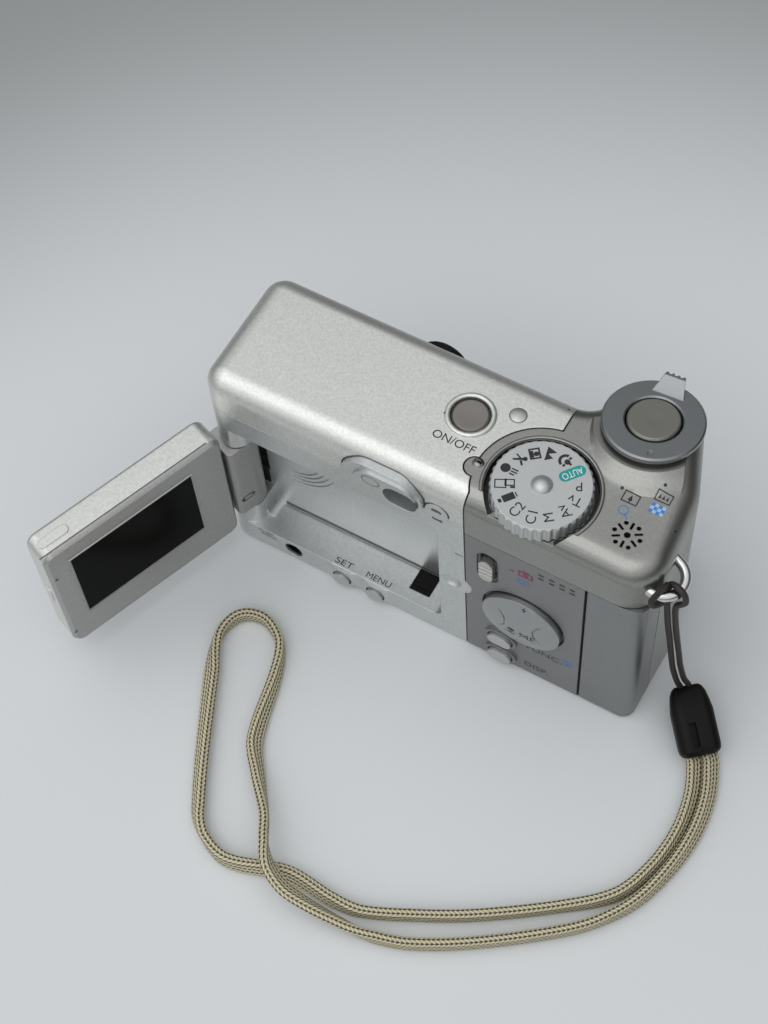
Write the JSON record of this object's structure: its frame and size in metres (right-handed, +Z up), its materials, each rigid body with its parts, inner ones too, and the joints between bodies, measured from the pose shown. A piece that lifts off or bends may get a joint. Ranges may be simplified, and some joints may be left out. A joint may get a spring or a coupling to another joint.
{
  "type": "compact digital camera",
  "caption": "Compact digital camera with a swing-out tilting monitor, extending lens, mode dial, zoom ring round the shutter button, and a braided wrist strap on a side lug",
  "frame": {"origin": "mouth of the tripod socket, in the middle of the base, at floor level", "axes": "X along the body to the right as seen from the back, Y towards the lens side, Z up; the back faces -Y"},
  "size_m": [0.1453, 0.1149, 0.0684],
  "materials": {
    "silver_paint": "satin",
    "grip_paint": "satin",
    "rear_plastic": "matte",
    "panel_plastic": "matte",
    "bezel_plastic": "matte",
    "bright_plastic": "satin",
    "ring_metal": "satin",
    "lens_metal": "satin",
    "shutter_plastic": "satin",
    "taupe_plastic": "satin",
    "black_plastic": "matte",
    "steel": "brushed",
    "chrome": "polished",
    "clear_glass": "clear",
    "screen_glass": "gloss",
    "lamp_plastic": "gloss",
    "board": "matte",
    "inner_plastic": "matte",
    "cell_wrap": "gloss",
    "braid": "woven",
    "cord": "woven"
  },
  "bodies": {
    "body": {"front_cover": "silver_paint", "rear_cover": "rear_plastic", "grip_cover": "grip_paint", "control_panel": "panel_plastic", "base_plate": "silver_paint", "chassis": "steel", "lens_housing": "inner_plastic", "image_sensor": "inner_plastic", "main_board": "board", "top_board": "board", "viewfinder_body": "black_plastic", "viewfinder_bezel": "black_plastic", "viewfinder_glass": "clear_glass", "viewfinder_lamps": "lamp_plastic", "flash_unit": "inner_plastic", "flash_window": "clear_glass", "focus_lamp": "lamp_plastic", "power_lamp": "bright_plastic", "speaker": "inner_plastic", "strap_lug": "chrome", "key_board": "board", "av_jack": "black_plastic", "monitor_catch": "black_plastic", "hinge_pin": "steel", "card_slot": "steel", "memory_card": "black_plastic", "battery_box": "inner_plastic", "battery_cells": "cell_wrap", "tripod_socket": "steel", "body_screws": "steel", "strap_cord": "cord", "strap_slider": "black_plastic", "strap_band": "braid"},
    "arm": {"hinge_arm": "bezel_plastic"},
    "monitor": {"tilt_shaft": "steel", "monitor_back": "silver_paint", "monitor_front": "bezel_plastic", "monitor_glass": "screen_glass", "lcd_module": "inner_plastic"},
    "dial": {"mode_dial": "bright_plastic"},
    "zoom": {"zoom_ring": "ring_metal"},
    "shutter": {"shutter_button": "shutter_plastic"},
    "power": {"power_button": "taupe_plastic"},
    "switch": {"mode_switch": "ring_metal"},
    "gimbal": {"selector_pivot": "inner_plastic"},
    "selector": {"selector_disc": "bright_plastic"},
    "function": {"function_button": "bright_plastic"},
    "display": {"display_button": "bright_plastic"},
    "set": {"set_button": "bright_plastic"},
    "menu": {"menu_button": "bright_plastic"},
    "ring": {"lens_ring": "lens_metal"},
    "release": {"ring_release_button": "lens_metal"},
    "barrel_outer": {"outer_barrel": "lens_metal"},
    "barrel_inner": {"inner_barrel": "lens_metal", "front_lens": "clear_glass"},
    "blade_upper": {"barrier_upper": "black_plastic"},
    "blade_lower": {"barrier_lower": "black_plastic"},
    "card_hatch": {"card_door": "rear_plastic"},
    "battery_hatch": {"battery_door": "silver_paint"},
    "terminal_hatch": {"terminal_cover": "panel_plastic"}
  },
  "joints": [
    {"name": "monitor_swing", "type": "hinge", "parent": "body", "child": "arm", "pos_m": [-0.0476, -0.0116, 0.0274], "axis": [0, 0, 1], "range_deg": [-69, 111]},
    {"name": "monitor_tilt", "type": "hinge", "parent": "arm", "child": "monitor", "pos_m": [-0.05023, -0.01595, 0.0274], "axis": [-0.3584, -0.9336, 0], "range_deg": [-90, 180]},
    {"name": "dial_turn", "type": "hinge", "parent": "body", "child": "dial", "pos_m": [0.0227, -0.0062, 0.0646], "axis": [0, 0, 1], "continuous": true},
    {"name": "zoom_turn", "type": "hinge", "parent": "body", "child": "zoom", "pos_m": [0.0353, 0.0172, 0.067], "axis": [-0.0502, 0.1288, 0.9904], "range_deg": [-20, 20], "stiffness_Nm_per_rad": 0.03},
    {"name": "shutter_press", "type": "slide", "parent": "body", "child": "shutter", "axis": [0.0502, -0.1288, -0.9904], "range_m": [0, 0.001], "stiffness_N_per_m": 600},
    {"name": "power_press", "type": "slide", "parent": "body", "child": "power", "axis": [0, 0, -1], "range_m": [0, 0.0005], "stiffness_N_per_m": 300},
    {"name": "switch_slide", "type": "slide", "parent": "body", "child": "switch", "axis": [0, 0, 1], "range_m": [-0.001, 0.001]},
    {"name": "selector_up_down", "type": "hinge", "parent": "body", "child": "gimbal", "pos_m": [0.0241, -0.0131, 0.0255], "axis": [1, 0, 0], "range_deg": [-3.5, 3.5], "stiffness_Nm_per_rad": 0.06},
    {"name": "selector_left_right", "type": "hinge", "parent": "gimbal", "child": "selector", "pos_m": [0.0241, -0.0131, 0.0255], "axis": [0, 0, 1], "range_deg": [-3.5, 3.5], "stiffness_Nm_per_rad": 0.06},
    {"name": "function_press", "type": "slide", "parent": "body", "child": "function", "axis": [0, 1, 0], "range_m": [0, 0.0005], "stiffness_N_per_m": 300},
    {"name": "display_press", "type": "slide", "parent": "body", "child": "display", "axis": [0, 1, 0], "range_m": [0, 0.0005], "stiffness_N_per_m": 300},
    {"name": "set_press", "type": "slide", "parent": "body", "child": "set", "axis": [0, 1, 0], "range_m": [0, 0.0005], "stiffness_N_per_m": 300},
    {"name": "menu_press", "type": "slide", "parent": "body", "child": "menu", "axis": [0, 1, 0], "range_m": [0, 0.0005], "stiffness_N_per_m": 300},
    {"name": "lens_ring_turn", "type": "hinge", "parent": "body", "child": "ring", "pos_m": [-0.011, 0.0166, 0.0275], "axis": [0, 1, 0], "range_deg": [0, 20]},
    {"name": "release_press", "type": "slide", "parent": "body", "child": "release", "axis": [0, -1, 0], "range_m": [0, 0.0006], "stiffness_N_per_m": 300},
    {"name": "lens_extend", "type": "slide", "parent": "body", "child": "barrel_outer", "axis": [0, 1, 0], "range_m": [0, 0.011]},
    {"name": "lens_inner_extend", "type": "slide", "parent": "barrel_outer", "child": "barrel_inner", "axis": [0, 1, 0], "range_m": [0, 0.009]},
    {"name": "barrier_upper_open", "type": "hinge", "parent": "barrel_inner", "child": "blade_upper", "pos_m": [-0.00225, 0.0176, 0.0275], "axis": [0, 1, 0], "range_deg": [0, 40]},
    {"name": "barrier_lower_open", "type": "hinge", "parent": "barrel_inner", "child": "blade_lower", "pos_m": [-0.01975, 0.0176, 0.0275], "axis": [0, 1, 0], "range_deg": [0, 40]},
    {"name": "card_door_open", "type": "hinge", "parent": "body", "child": "card_hatch", "pos_m": [0.03835, -0.01505, 0.026], "axis": [0, 0, -1], "range_deg": [0, 90]},
    {"name": "battery_door_open", "type": "hinge", "parent": "body", "child": "battery_hatch", "pos_m": [0.015, 0.005, 0.0008], "axis": [0, 1, 0], "range_deg": [0, 95]},
    {"name": "terminal_cover_open", "type": "hinge", "parent": "body", "child": "terminal_hatch", "pos_m": [-0.051, 0.01185, 0.013], "axis": [0, 0, -1], "range_deg": [0, 100]}
  ],
  "couplings": [
    {"joint": "lens_inner_extend", "follows": "lens_extend", "ratio": 0.818},
    {"joint": "barrier_upper_open", "follows": "lens_extend", "rad_per_m": 63.403},
    {"joint": "barrier_lower_open", "follows": "lens_extend", "rad_per_m": 63.403}
  ]
}
